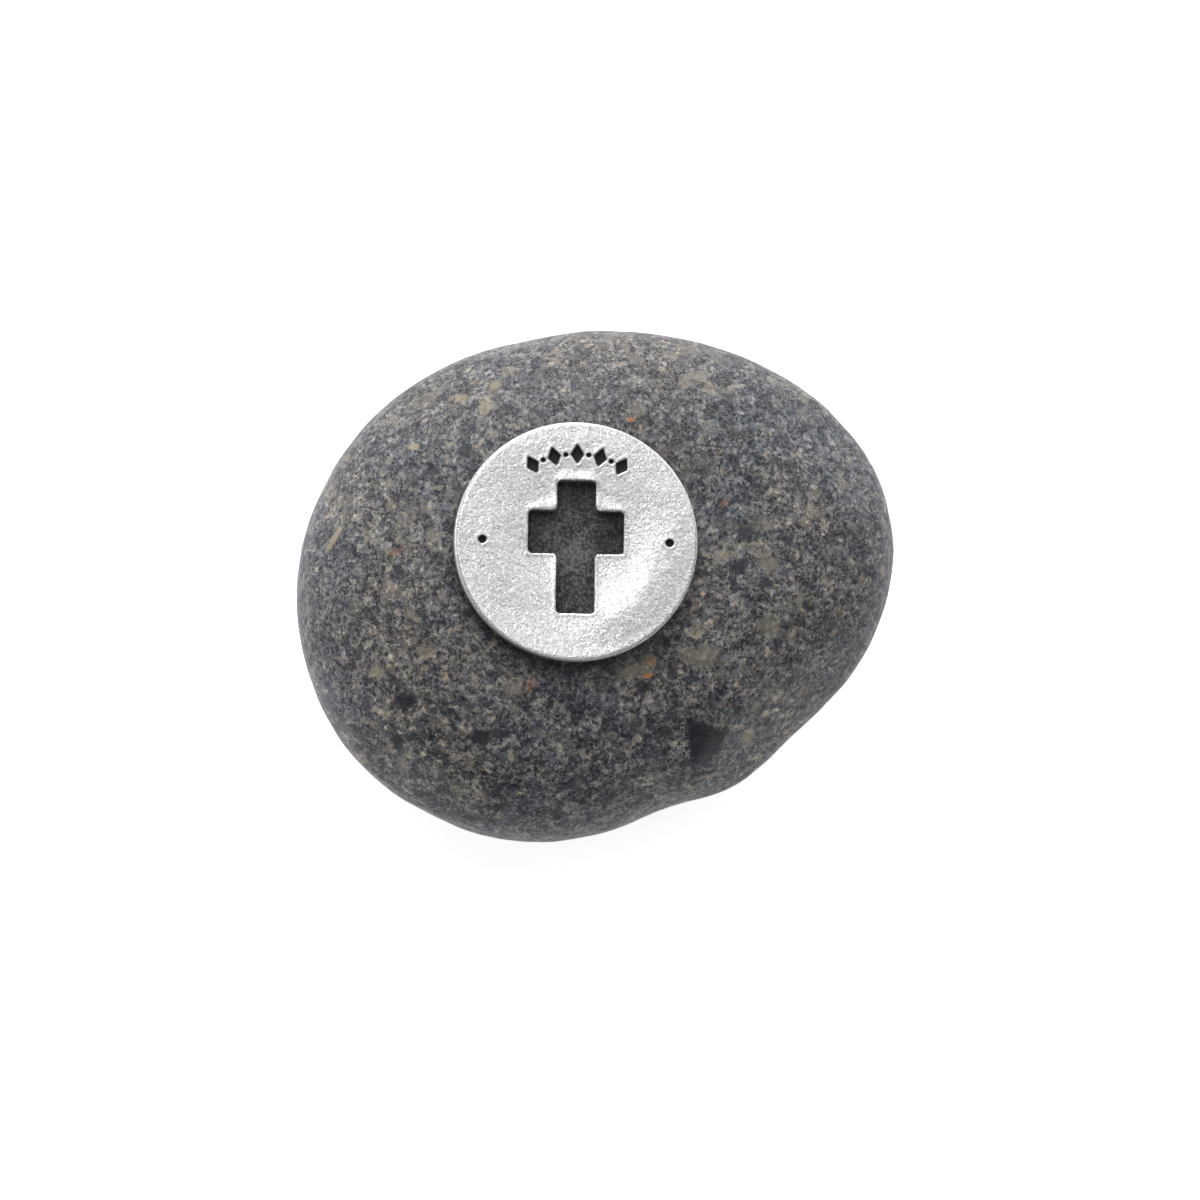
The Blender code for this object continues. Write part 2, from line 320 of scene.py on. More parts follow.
CLASTS = (
    Clast(ClastTone.SLATE, 408, 700, 1.25, 0.85, 12, 0.85),
    Clast(ClastTone.SLATE, 401, 739, 1.05, 0.55, 100, 0.85),
    Clast(ClastTone.SLATE, 484, 734, 1.1, 0.75, 10, 0.85),
    Clast(ClastTone.DARK, 503, 731, 1.2, 0.35, 8, 0.85),
    Clast(ClastTone.DARK, 349, 639, 0.9, 0.4, 55),
    Clast(ClastTone.DARK, 339, 727, 0.7, 0.5, -20),
    Clast(ClastTone.SLATE, 478, 647, 0.5, 0.42, 0),
    Clast(ClastTone.DARK, 384, 760, 0.55, 0.35, -20),
    Clast(ClastTone.DARK, 421, 791, 0.75, 0.4, -20),
    Clast(ClastTone.DARK, 439, 811, 0.55, 0.35, -20),
    Clast(ClastTone.TAN, 380, 670, 0.7, 0.5, 20, 0.45),
    Clast(ClastTone.TAN, 429, 666, 0.5, 0.3, 10, 0.45),
    Clast(ClastTone.TAN, 421, 618, 0.4, 0.35, 0, 0.45),
    Clast(ClastTone.TAN, 513, 754, 0.4, 0.35, 0, 0.5),
    Clast(ClastTone.ORANGE, 532, 682, 0.7, 0.5, 60, 0.3),
    Clast(ClastTone.DARK, 471, 815, 0.8, 0.55, 15),
    Clast(ClastTone.SLATE, 660, 728, 1.15, 0.6, -3),
    Clast(ClastTone.DARK, 743, 534, 0.9, 0.8, 0),
    Clast(ClastTone.DARK, 736, 568, 1.3, 0.7, 40),
    Clast(ClastTone.DARK, 699, 574, 0.7, 0.5, 0),
    Clast(ClastTone.DARK, 468, 453, 0.9, 0.7, 60),
    Clast(ClastTone.DARK, 436, 473, 0.8, 0.6, 0),
    Clast(ClastTone.SLATE, 641, 684, 0.95, 0.6, -20),
    Clast(ClastTone.SLATE, 671, 672, 0.7, 0.55, 60),
    Clast(ClastTone.OLIVE, 701, 655, 1.7, 1.25, 15, 0.5),
    Clast(ClastTone.OLIVE, 766, 626, 1.3, 1.0, 0, 0.5),
    Clast(ClastTone.OLIVE, 764, 563, 1.2, 0.9, 0, 0.45),
    Clast(ClastTone.OLIVE, 622, 672, 0.9, 0.7, 0, 0.5),
    Clast(ClastTone.TAN, 645, 662, 1.3, 0.9, 40, 0.35),
    Clast(ClastTone.TAN, 487, 410, 0.9, 0.65, 70, 0.55),
    Clast(ClastTone.TAN, 463, 401, 0.75, 0.5, 0, 0.5),
    Clast(ClastTone.TAN, 497, 388, 0.6, 0.45, 0, 0.5),
    Clast(ClastTone.TAN, 747, 735, 0.75, 0.5, 20, 0.55),
    Clast(ClastTone.TAN, 338, 540, 1.75, 0.28, 61, 0.8),
    Clast(ClastTone.TAN, 631, 669, 0.7, 0.55, 0, 0.5),
    Clast(ClastTone.ORANGE, 651, 661, 0.35, 0.25, 70, 0.75),
    Clast(ClastTone.ORANGE, 647, 674, 0.45, 0.28, 20, 0.85),
    Clast(ClastTone.ORANGE, 630, 423, 0.4, 0.3, 0, 0.6),
    Clast(ClastTone.TAN, 417, 449, 0.55, 0.4, 0, 0.85),
    Clast(ClastTone.ORANGE, 721, 505, 0.4, 0.3, 0, 0.3),
    Clast(ClastTone.ORANGE, 728, 703, 0.35, 0.25, 0, 0.3),
    Clast(ClastTone.RUST, 400, 553, 0.9, 0.25, 25, 0.6),
    Clast(ClastTone.SLATE, 703, 771, 1.8, 0.13, 12, 0.85),
    Clast(ClastTone.TAN, 705, 775, 1.6, 0.12, 12, 0.5),
    Clast(ClastTone.TAN, 750, 545, 2.3, 0.12, 2, 0.5),
    Clast(ClastTone.DARK, 711, 449, 1.7, 0.14, -6),
    Clast(ClastTone.DARK, 784, 540, 0.65, 0.45, 10),
    Clast(ClastTone.DARK, 806, 606, 0.9, 0.4, -8),
    Clast(ClastTone.DARK, 760, 585, 0.9, 0.5, 30, 0.6),
    Clast(ClastTone.OLIVE, 812, 494, 0.6, 0.5, 0, 0.5),
    Clast(ClastTone.OLIVE, 393, 486, 0.6, 0.4, 10, 0.5),
    Clast(ClastTone.TAN, 440, 490, 0.7, 0.2, 8, 0.45),
    Clast(ClastTone.TAN, 395, 508, 0.6, 0.4, 0, 0.4),
    Clast(ClastTone.TAN, 348, 459, 0.5, 0.35, 30, 0.4),
)

# The largest fragment has flat sides: its corners, clockwise, as pixels of the photograph
SLATE_WEDGE_PX = ((682, 712), (728, 729), (719, 749), (704, 764), (690, 761))


@dataclass(frozen=True)
class WaterWornGreywacke:
    """Greywacke, a dark sandstone, worn smooth by a river.

    Its grains and rock fragments of many sizes give the eye a salt-and-pepper mottle of slate,
    grey and tan with thin pale seams between them, and its worn skin a soft satin.

    Args:
        ink: The colour of the painted shadow that darkens the stone beside the token's lower rim.
        grain_mm: Width of the ordinary grains.
        fine_mm: Width of the finest grains that show.
        coarse_mm: Width of the larger fragments.
        seam_mm: Spacing of the pale seams.
        net_mm: Width of the larger grains that the pale net runs round.
        bend_mm: Width of the waves that bend the finer grains.
        wander_mm: Width of the waves that bend the larger grains.
        patch_mm: Width of the areas where the larger grains show more or less.
        break_mm: Width of the breaks in the pale net.
        tint_mm: Width of the areas that lean brown or blue.
        ragged_mm: Width of the waves in a placed fragment's edge.
        ragged_reach: How far those waves shift the edge.
        tooth_mm: Width of the worn skin's fine tooth.
    """

    # The colour of the painted shadow beside the token
    ink: str = "#08090b"
    grain_mm: float = 0.46
    fine_mm: float = 0.24
    coarse_mm: float = 1.25
    seam_mm: float = 0.62
    net_mm: float = 1.0
    bend_mm: float = 0.7
    wander_mm: float = 1.5
    patch_mm: float = 4.5
    break_mm: float = 0.9
    tint_mm: float = 11.0
    ragged_mm: float = 0.5
    ragged_reach: float = 1.3
    tooth_mm: float = 0.35

    def material(self, heights: BVHTree) -> bpy.types.Material:
        """Builds the stone's material.

        Args:
            heights: The stone's surface, from which each placed fragment gets its height.

        Returns:
            The finished material.
        """
        paint = Paint("water-worn greywacke")
        colour, light_grain = self._grains(paint)
        colour = self._seams(paint, colour)
        colour = self._tint(paint, colour)
        colour = self._fragments(paint, colour, heights)
        # Painted shadow: the stone beside the token's lower rim is darkened towards the shadow colour
        painted_shadow = paint.add("Attribute", attribute_name="painted_shadow").outputs["Fac"]
        shadowed = paint.add("Mix", {0: painted_shadow, 6: colour, 7: linear(self.ink)}, data_type="RGBA")
        rough = paint.add("MapRange", {"Value": light_grain, "To Min": 0.52, "To Max": 0.68})
        relief = self._relief(paint, light_grain)
        set_inputs(paint.shader, {"Base Color": shadowed, "Roughness": rough, "Normal": relief})
        set_inputs(paint.shader, {"IOR": 1.5, "Specular IOR Level": 0.25})
        # The worn skin's fine tooth pales it where it turns away
        set_inputs(paint.shader, {"Sheen Weight": 0.12, "Sheen Roughness": 0.5})
        set_inputs(paint.shader, {"Sheen Tint": linear("#dde4f2")})
        return paint.material

    def _grains(self, paint: Paint) -> tuple[Source, Source]:
        """Draws the grains of three sizes, each grain with a colour of its own.

        Args:
            paint: The stone's paint.

        Returns:
            The colour, and how light each grain is.
        """
        wander = paint.add("TexNoise", {"Vector": paint.place, "Scale": 1 / self.bend_mm, "Detail": 2.0})
        bent = paint.add(
            "VectorMath",
            {0: wander.outputs["Color"], 1: (0.55, 0.55, 0.55), 2: paint.place},
            operation="MULTIPLY_ADD",
        )
        pick, grain = self._cells(
            paint,
            bent,
            self.grain_mm,
            "Red",
            (
                (0.0, "#1b1f25"),
                (0.24, "#282c33"),
                (0.46, "#3f4146"),
                (0.66, "#5b5c5e"),
                (0.83, "#868480"),
                (0.95, "#a39d90"),
                (1.0, "#a18a66"),
            ),
        )
        fine = self._cells(
            paint,
            bent,
            self.fine_mm,
            "Green",
            ((0.0, "#1d2026"), (0.35, "#3d3f44"), (0.7, "#626263"), (0.9, "#989590"), (1.0, "#bab4a7")),
        )[1]
        mixed = paint.add("Mix", {0: 0.45, 6: grain, 7: fine}, data_type="RGBA")
        coarse_pick, coarse = self._cells(
            paint,
            bent,
            self.coarse_mm,
            "Red",
            ((0.0, "#1a1d23"), (0.6, "#2a2d33"), (0.78, "#5f5c54"), (1.0, "#82796a")),
        )
        rare = paint.add(
            "MapRange",
            {"Value": coarse_pick.outputs["Blue"], "From Min": 0.6, "From Max": 0.68, "To Max": 0.66},
        )
        whole = paint.add("Mix", {0: rare, 6: mixed, 7: coarse}, data_type="RGBA")
        return whole, pick.outputs["Red"]

    def _cells(
        self,
        paint: Paint,
        bent: Source,
        width: float,
        channel: str,
        stops: tuple[tuple[float, str], ...],
    ) -> tuple[bpy.types.Node, bpy.types.Node]:
        """Fills the stone with cells of one size, each with a tone of its own.

        Args:
            paint: The stone's paint.
            bent: The place on the stone in millimetres, bent so that no cell is regular.
            width: The cells' width in millimetres.
            channel: Which of a cell's three random numbers picks its tone.
            stops: The tones, from the lowest number to the highest.

        Returns:
            Each cell's random numbers, and its tone.
        """
        cells = paint.add("TexVoronoi", {"Vector": bent, "Scale": 1 / width})
        pick = paint.add("SeparateColor", {"Color": cells.outputs["Color"]})
        return pick, paint.add("ValToRGB", {"Fac": pick.outputs[channel]}, stops=stops)

    def _seams(self, paint: Paint, colour: Source) -> Source:
        """Draws the thin pale seams that wander between the grains.

        Args:
            paint: The stone's paint.
            colour: The colour under the seams.

        Returns:
            The colour with the seams.
        """
        wave = paint.add(
            "TexNoise",
            {"Vector": paint.place, "Scale": 1 / self.seam_mm, "Detail": 3.0, "Roughness": 0.6},
        )
        off_level = paint.add("Math", {0: wave, 1: 0.5}, operation="SUBTRACT")
        off_level = paint.add("Math", {0: off_level}, operation="ABSOLUTE")
        line = paint.add(
            "MapRange",
            {"Value": off_level, "From Min": 0.028, "From Max": 0.0, "To Max": 0.62},
        )
        pale = paint.add("Mix", {0: line, 6: colour, 7: linear("#a39d92")}, data_type="RGBA")
        return self._larger_grains(paint, pale)

    def _larger_grains(self, paint: Paint, colour: Source) -> Source:
        """Sorts the stone into larger dark and light grains, clearest towards the front.

        Args:
            paint: The stone's paint.
            colour: The colour under them.

        Returns:
            The colour with the larger grains and the broken pale threads between them.
        """
        wander = paint.add(
            "TexNoise",
            {"Vector": paint.place, "Scale": 1 / self.wander_mm, "Detail": 4.0, "Roughness": 0.62},
        )
        bent = paint.add(
            "VectorMath",
            {0: wander.outputs["Color"], 1: (2.4, 2.4, 2.4), 2: paint.place},
            operation="MULTIPLY_ADD",
        )
        across = paint.add("SeparateXYZ", {"Vector": paint.place}).outputs["Y"]
        patch = paint.add(
            "TexNoise",
            {"Vector": paint.place, "Scale": 1 / self.patch_mm, "Detail": 3.0, "Roughness": 0.6},
        )
        lean = paint.add("Math", {0: patch, 1: 60.0, 2: across}, operation="MULTIPLY_ADD")
        share = paint.add("MapRange", {"Value": lean, "From Min": 58.0, "From Max": 14.0, "To Min": 0.25})
        for width, strength in ((self.net_mm, 0.72), (self.net_mm * 0.5, 0.62)):
            tone = self._cells(
                paint,
                bent,
                width,
                "Green",
                (
                    (0.0, "#6f7785"),
                    (0.3, "#8b919b"),
                    (0.5, "#b3b5b9"),
                    (0.75, "#cac9c6"),
                    (0.92, "#e2ded5"),
                    (1.0, "#fff6e8"),
                ),
            )[1]
            toned = paint.add("VectorMath", {0: colour, 1: tone}, operation="MULTIPLY")
            toned = paint.add("VectorMath", {0: toned, 3: 2.0}, operation="SCALE")
            part = paint.add("Math", {0: share, 1: strength}, operation="MULTIPLY")
            colour = paint.add("Mix", {0: part, 6: colour, 7: toned}, data_type="RGBA")
        net = paint.add(
            "TexVoronoi",
            {"Vector": bent, "Scale": 1 / self.net_mm},
            feature="DISTANCE_TO_EDGE",
        )
        thread = paint.add("MapRange", {"Value": net, "From Min": 0.075, "From Max": 0.01})
        broken = paint.add("TexNoise", {"Vector": paint.place, "Scale": 1 / self.break_mm, "Detail": 2.0})
        kept = paint.add("MapRange", {"Value": broken, "From Min": 0.48, "From Max": 0.6, "To Max": 0.8})
        kept = paint.add("Math", {0: kept, 1: share}, operation="MULTIPLY")
        bright = paint.add("Math", {0: thread, 1: kept}, operation="MULTIPLY")
        return paint.add("Mix", {0: bright, 6: colour, 7: linear("#a39e93")}, data_type="RGBA")

    def _tint(self, paint: Paint, colour: Source) -> Source:
        """Leans broad areas of the stone towards brown or slate blue.

        Args:
            paint: The stone's paint.
            colour: The colour to tint.

        Returns:
            The tinted colour.
        """
        broad = paint.add("TexNoise", {"Vector": paint.place, "Scale": 1 / self.tint_mm, "Detail": 3.0})
        tint = paint.add(
            "ValToRGB",
            {"Fac": broad},
            stops=((0.3, "#e6edfa"), (0.5, "#f4f5fb"), (0.72, "#fef9f6")),
        )
        return paint.add("Mix", {0: 1.0, 6: colour, 7: tint}, data_type="RGBA", blend_type="MULTIPLY")

    def _fragments(self, paint: Paint, colour: Source, heights: BVHTree) -> Source:
        """Draws the larger fragments that the photograph shows one by one.

        Args:
            paint: The stone's paint.
            colour: The colour around the fragments.
            heights: The stone's surface.

        Returns:
            The colour with the fragments.
        """
        ragged = paint.add("TexNoise", {"Vector": paint.place, "Scale": 1 / self.ragged_mm, "Detail": 3.0})
        for clast in CLASTS:
            middle = surface_point(heights, clast.column, clast.row)
            local = paint.add(
                "Mapping",
                {
                    "Vector": paint.place,
                    "Location": middle,
                    "Rotation": (0.0, 0.0, math.radians(clast.turn)),
                    "Scale": (clast.length, clast.width, 2 * clast.length),
                },
                vector_type="TEXTURE",
            )
            out = paint.add("VectorMath", {0: local}, operation="LENGTH")
            edge = paint.add("Math", {0: ragged, 1: self.ragged_reach, 2: out}, operation="MULTIPLY_ADD")
            mask = paint.add(
                "MapRange",
                {"Value": edge, "From Min": 1.88, "From Max": 1.4, "To Max": clast.strength},
            )
            colour = paint.add("Mix", {0: mask, 6: colour, 7: linear(clast.tone.value)}, data_type="RGBA")
        return self._wedge(paint, colour, ragged, heights)

    def _wedge(self, paint: Paint, colour: Source, ragged: Source, heights: BVHTree) -> Source:
        """Draws the largest fragment, a dark slate wedge, inside its straight sides.

        Args:
            paint: The stone's paint.
            colour: The colour around it.
            ragged: A fine noise that roughens its sides.
            heights: The stone's surface.

        Returns:
            The colour with the wedge.
        """
        corners = [surface_point(heights, column, row) for column, row in SLATE_WEDGE_PX]
        beyond = None
        for first, second in zip(corners, corners[1:] + corners[:1]):
            along = (second - first).normalized()
            outward = Vector((-along.y, along.x, 0.0)).normalized()
            side = paint.add("VectorMath", {0: paint.place, 1: outward}, operation="DOT_PRODUCT")
            out = paint.add("Math", {0: side, 1: first.dot(outward)}, operation="SUBTRACT")
            if beyond is not None:
                out = paint.add("Math", {0: beyond, 1: out}, operation="MAXIMUM")
            beyond = out
        low = min(corner.z for corner in corners) - 2.0
        height = paint.add("SeparateXYZ", {"Vector": paint.place}).outputs["Z"]
        under = paint.add("Math", {0: low, 1: height}, operation="SUBTRACT")
        beyond = paint.add("Math", {0: beyond, 1: under}, operation="MAXIMUM")
        edge = paint.add("Math", {0: ragged, 1: self.ragged_reach, 2: beyond}, operation="MULTIPLY_ADD")
        mask = paint.add("MapRange", {"Value": edge, "From Min": 0.86, "From Max": 0.3, "To Max": 0.9})
        return paint.add("Mix", {0: mask, 6: colour, 7: linear("#13171f")}, data_type="RGBA")

    def _relief(self, paint: Paint, light_grain: Source) -> Source:
        """Raises the harder grains a few hundredths of a millimetre out of the worn skin.

        Args:
            paint: The stone's paint.
            light_grain: How light each grain is.

        Returns:
            The bumped normal.
        """
        tooth = paint.add(
            "TexNoise",
            {"Vector": paint.place, "Scale": 1 / self.tooth_mm, "Detail": 4.0, "Roughness": 0.6},
        )
        height = paint.add("Math", {0: light_grain, 1: 0.35, 2: tooth}, operation="MULTIPLY_ADD")
        return paint.add("Bump", {"Height": height, "Strength": 0.6, "Distance": 0.06 * MM})


@dataclass(frozen=True)
class CastPewter:
    """Pewter cast in a mould, tumbled bright, with blackening left in its punch marks.

    The skin of the casting gives the eye a soft silver with a fine ripple that breaks up its
    highlights, and the blackening makes the marks read as ink.

    Args:
        ripple_mm: Width of the ripples that the casting left.
        ripple_height_mm: Height of those ripples.
        grain_mm: Width of the fine tooth between them.
    """

    ripple_mm: float = 0.58
    ripple_height_mm: float = 0.072
    grain_mm: float = 0.2

    def material(self) -> bpy.types.Material:
        """Builds the token's material.

        Returns:
            The finished material.
        """
        paint = Paint("cast and tumbled pewter")
        ripple = paint.add(
            "TexNoise",
            {
                "Vector": paint.place,
                "Scale": 1 / self.ripple_mm,
                "Detail": 3.0,
                "Roughness": 0.6,
                "Distortion": 0.9,
            },
        )
        grain = paint.add("TexNoise", {"Vector": paint.place, "Scale": 1 / self.grain_mm, "Detail": 2.0})
        # Black patina in the marks and on the window's walls, with painted shade on the outer edge
        patina_and_shade = paint.add("Attribute", attribute_name="blackening_and_edge_shade").outputs["Fac"]
        silver = paint.add("ValToRGB", {"Fac": grain}, stops=((0.36, "#bdbdc0"), (0.62, "#ededee")))
        base = paint.add("Mix", {0: patina_and_shade, 6: silver, 7: linear("#08080a")}, data_type="RGBA")
        metal = paint.add("MapRange", {"Value": patina_and_shade, "To Min": 1.0, "To Max": 0.0})
        rough = paint.add(
            "MapRange",
            {"Value": ripple, "From Min": 0.3, "From Max": 0.7, "To Min": 0.27, "To Max": 0.36},
        )
        rough = paint.add("Math", {0: patina_and_shade, 1: 0.45, 2: rough}, operation="MULTIPLY_ADD")
        height = paint.add("Math", {0: grain, 1: 0.3, 2: ripple}, operation="MULTIPLY_ADD")
        bump = paint.add(
            "Bump",
            {"Height": height, "Strength": 0.9, "Distance": self.ripple_height_mm * MM},
        )
        set_inputs(paint.shader, {"Base Color": base, "Metallic": metal})
        set_inputs(paint.shader, {"Roughness": rough, "Normal": bump})
        return paint.material


@dataclass(frozen=True)
class CuredEpoxy:
    """Two-part epoxy, cured hard over the dark stone, with dust and smears in its skin.

    It gives the eye a dark, half-wet floor with blurred paler smears.

    Args:
        smear_mm: Width of the paler smears.
        speck_mm: Width of the dust specks.
    """

    smear_mm: float = 2.6
    speck_mm: float = 0.35

    def material(self) -> bpy.types.Material:
        """Builds the adhesive's material.

        Returns:
            The finished material.
        """
        paint = Paint("cured epoxy")
        smear = paint.add("TexNoise", {"Vector": paint.place, "Scale": 1 / self.smear_mm, "Detail": 4.0})
        speck = paint.add(
            "TexNoise",
            {"Vector": paint.place, "Scale": 1 / self.speck_mm, "Detail": 4.0, "Roughness": 0.7},
        )
        cloudy = paint.add("Math", {0: smear, 1: 0.4, 2: speck}, operation="MULTIPLY_ADD")
        paler = paint.add("Attribute", attribute_name="smear").outputs["Fac"]
        cloudy_there = paint.add("Math", {0: paler, 1: 0.17, 2: cloudy}, operation="MULTIPLY_ADD")
        # Painted shade: the adhesive is darker under the window's upper edges
        shade = paint.add("Attribute", attribute_name="shade").outputs["Fac"]
        cloudy_there = paint.add("Math", {0: shade, 1: -0.28, 2: cloudy_there}, operation="MULTIPLY_ADD")
        colour = paint.add(
            "ValToRGB",
            {"Fac": cloudy_there},
            stops=(
                (0.48, "#0f0f0f"),
                (0.59, "#212121"),
                (0.7, "#393939"),
                (0.83, "#656462"),
                (1.0, "#72716e"),
            ),
        )
        bump = paint.add("Bump", {"Height": cloudy, "Strength": 0.5, "Distance": 0.1 * MM})
        set_inputs(paint.shader, {"Base Color": colour, "Normal": bump})
        set_inputs(paint.shader, {"Roughness": 0.38, "IOR": 1.55, "Specular IOR Level": 0.2})
        return paint.material


@dataclass(frozen=True)
class PaleFloor:
    """A white translucent sweep, lit from behind so that nothing shades it.

    Args:
        glow: How brightly it shines by itself.
    """

    glow: float = 0.66

    def material(self) -> bpy.types.Material:
        """Builds the floor's material.

        Returns:
            The finished material.
        """
        paint = Paint("white sweep")
        set_inputs(paint.shader, {"Base Color": linear("#f4f4f4"), "Roughness": 0.9})
        set_inputs(paint.shader, {"Emission Color": linear("#ffffff"), "Emission Strength": self.glow})
        return paint.material


def surface_point(heights: BVHTree, column: float, row: float) -> Vector:
    """Finds where a pixel of the photograph meets the top of a surface.

    Args:
        heights: The surface, in metres.
        column: Pixels from the photograph's left edge.
        row: Pixels from its top edge.

    Returns:
        The point in millimetres.
    """
    over = photo_to_mm(column, row)
    start = Vector((over.x * MM, over.y * MM, 1.0))
    hit = heights.ray_cast(start, Vector((0, 0, -1)))[0]
    return (hit if hit else start) * TO_MM


def off_bearing(places: np.ndarray, middle: float) -> np.ndarray:
    """How far each place is from a bearing, seen from the origin.

    Args:
        places: The places.
        middle: The bearing in degrees anticlockwise from +X.

    Returns:
        The differences in degrees, from 0 to 180.
    """
    bearing = np.degrees(np.arctan2(places[:, 1], places[:, 0]))
    return np.abs((bearing - middle + 180) % 360 - 180)


@dataclass
class Pebble:
    """The water-worn stone.

    Args:
        voxel_mm: Size of the cells that its skin is modelled in.
        settle_rounds: Rounds of smoothing that take out the CAD solid's facets.
        lumps: For each layer of relief, its width and its height in millimetres.
        pit_spacing_mm: Spacing of the small pits.
        pit_depth_mm: Depth of the small pits.
        painted_shadows: Painted shadow that darkens the stone beside the token's lower rim. For each
        patch, its bearing and its spread in degrees, its width in millimetres and its strength.
    """

    voxel_mm: float = 0.36
    settle_rounds: int = 24
    lumps: tuple[tuple[float, float], ...] = ((9.0, 0.3), (3.6, 0.12), (1.3, 0.035))
    pit_spacing_mm: float = 3.4
    pit_depth_mm: float = 0.1
    # Painted shadow beside the token: bearing, spread, width and strength of each patch
    painted_shadows: tuple[tuple[float, float, float, float], ...] = (
        (285.0, 42.0, 2.0, 0.5),
        (215.0, 42.0, 0.7, 0.65),
    )

    def build(self, token: "Token") -> bpy.types.Object:
        """Models and dresses the stone.

        Args:
            token: The token, beside which a shadow is painted on the stone.

        Returns:
            The finished piece.
        """
        stone = copy_of_node("pebble", "worn_pebble")
        apply_modifier(stone, "REMESH", mode="VOXEL", voxel_size=self.voxel_mm * MM)
        apply_modifier(stone, "SMOOTH", factor=0.5, iterations=self.settle_rounds)
        for number, (width, height) in enumerate(self.lumps):
            texture = bpy.data.textures.new(f"worn lumps {number}", "CLOUDS")
            texture.noise_scale = width * MM
            texture.noise_depth = 1
            apply_modifier(stone, "DISPLACE", texture=texture, strength=height * MM, mid_level=0.5)
        self._pit(stone)
        # Painted shadow: darkens the stone beside the token's lower rim
        self._paint_shadow(stone, token)
        top = BVHTree.FromObject(stone, bpy.context.evaluated_depsgraph_get())
        dress(stone, WaterWornGreywacke().material(top), "pebble")
        return stone

    def _pit(self, stone: bpy.types.Object) -> None:
        """Sinks small scattered pits into the stone's skin.

        Args:
            stone: The stone's object.
        """
        texture = bpy.data.textures.new("small pits", "VORONOI")
        texture.noise_scale = self.pit_spacing_mm * MM
        texture.noise_intensity = 1.0
        texture.use_color_ramp = True
        ramp = texture.color_ramp
        ramp.elements[0].position = 0.05
        ramp.elements[0].color = (0, 0, 0, 1)
        ramp.elements[1].position = 0.2
        ramp.elements[1].color = (1, 1, 1, 1)
        apply_modifier(stone, "DISPLACE", texture=texture, strength=self.pit_depth_mm * MM, mid_level=1.0)

    def _paint_shadow(self, stone: bpy.types.Object, token: "Token") -> None:
        """Paints the token's shadow on the stone beside its lower rim, as darker colour.

        Args:
            stone: The stone's object.
            token: The token.
        """
        local = token.places_on(vertex_places(stone))
        out = np.maximum(np.hypot(local[:, 0], local[:, 1]) - token.radius, 0)
        painted_shadow = np.zeros(len(local))
        for middle, spread, width, strength in self.painted_shadows:
            painted_shadow += strength * fall_off(off_bearing(local, middle), spread) * fall_off(out, width)
        add_attribute(stone, "painted_shadow", painted_shadow * (local[:, 2] > -token.radius / 2))


